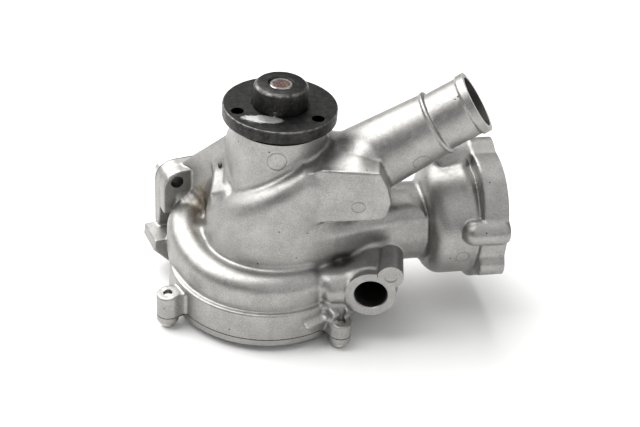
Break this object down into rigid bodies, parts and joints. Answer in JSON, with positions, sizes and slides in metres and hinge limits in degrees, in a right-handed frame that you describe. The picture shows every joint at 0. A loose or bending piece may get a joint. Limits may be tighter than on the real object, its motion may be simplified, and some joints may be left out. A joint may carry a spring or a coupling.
{
  "type": "water pump",
  "caption": "Engine coolant pump: cast aluminium volute housing with flanged drive hub, slanted hose spigot, thermostat chamber, side port and rear mounting lugs.",
  "frame": {"origin": "on the shaft axis, at the seat face of the drive hub's flange", "axes": "+Z along the shaft out of the hub; +X towards the hose spigot and thermostat chamber; -Y out of the side port"},
  "size_m": [0.2521, 0.1529, 0.1778],
  "materials": {
    "cast_aluminium": "as-cast silver grey, fine sandy texture",
    "rolled_aluminium": "smooth light grey",
    "gasket_paper": "dark grey fibre",
    "zinc_screw": "zinc plated",
    "black_oxide_steel": "black oxide, worn edges",
    "bearing_steel": "ground steel",
    "moulded_plastic": "moulded polyamide",
    "seal_rubber": "black rubber",
    "impeller_cast": "cast grey",
    "stainless_sheet": "pressed stainless sheet",
    "carbon": "lapped carbon",
    "ceramic": "white ceramic, lapped"
  },
  "bodies": {
    "casing": {"housing": "cast_aluminium", "rear_cover": "cast_aluminium", "rear_plate": "rolled_aluminium", "cover_gasket": "gasket_paper", "mounting_gasket": "gasket_paper", "cover_screws": "zinc_screw", "bearing_outer_race": "bearing_steel", "bearing_front_seal": "seal_rubber", "bearing_rear_seal": "seal_rubber", "seal_bellows": "seal_rubber", "seal_case": "stainless_sheet", "seal_spring": "stainless_sheet", "seal_carbon_ring": "carbon"},
    "rotor": {"drive_hub": "black_oxide_steel", "shaft": "bearing_steel", "impeller": "impeller_cast", "slinger": "stainless_sheet", "seal_seat_ring": "ceramic", "seal_seat_cup": "seal_rubber"},
    "ball_set": {"bearing_balls": "bearing_steel", "ball_cage": "moulded_plastic"},
    "roller_set": {"bearing_rollers": "bearing_steel", "roller_cage": "moulded_plastic"}
  },
  "joints": [
    {"name": "shaft_spin", "type": "hinge", "parent": "casing", "child": "rotor", "pos_m": [0, 0, 0], "axis": [0, 0, 1], "continuous": true},
    {"name": "ball_cage_spin", "type": "hinge", "parent": "casing", "child": "ball_set", "pos_m": [0, 0, -0.029], "axis": [0, 0, 1], "continuous": true},
    {"name": "roller_cage_spin", "type": "hinge", "parent": "casing", "child": "roller_set", "pos_m": [0, 0, -0.057], "axis": [0, 0, 1], "continuous": true}
  ],
  "couplings": [
    {"joint": "ball_cage_spin", "follows": "shaft_spin", "ratio": 0.3531},
    {"joint": "roller_cage_spin", "follows": "shaft_spin", "ratio": 0.3898}
  ]
}
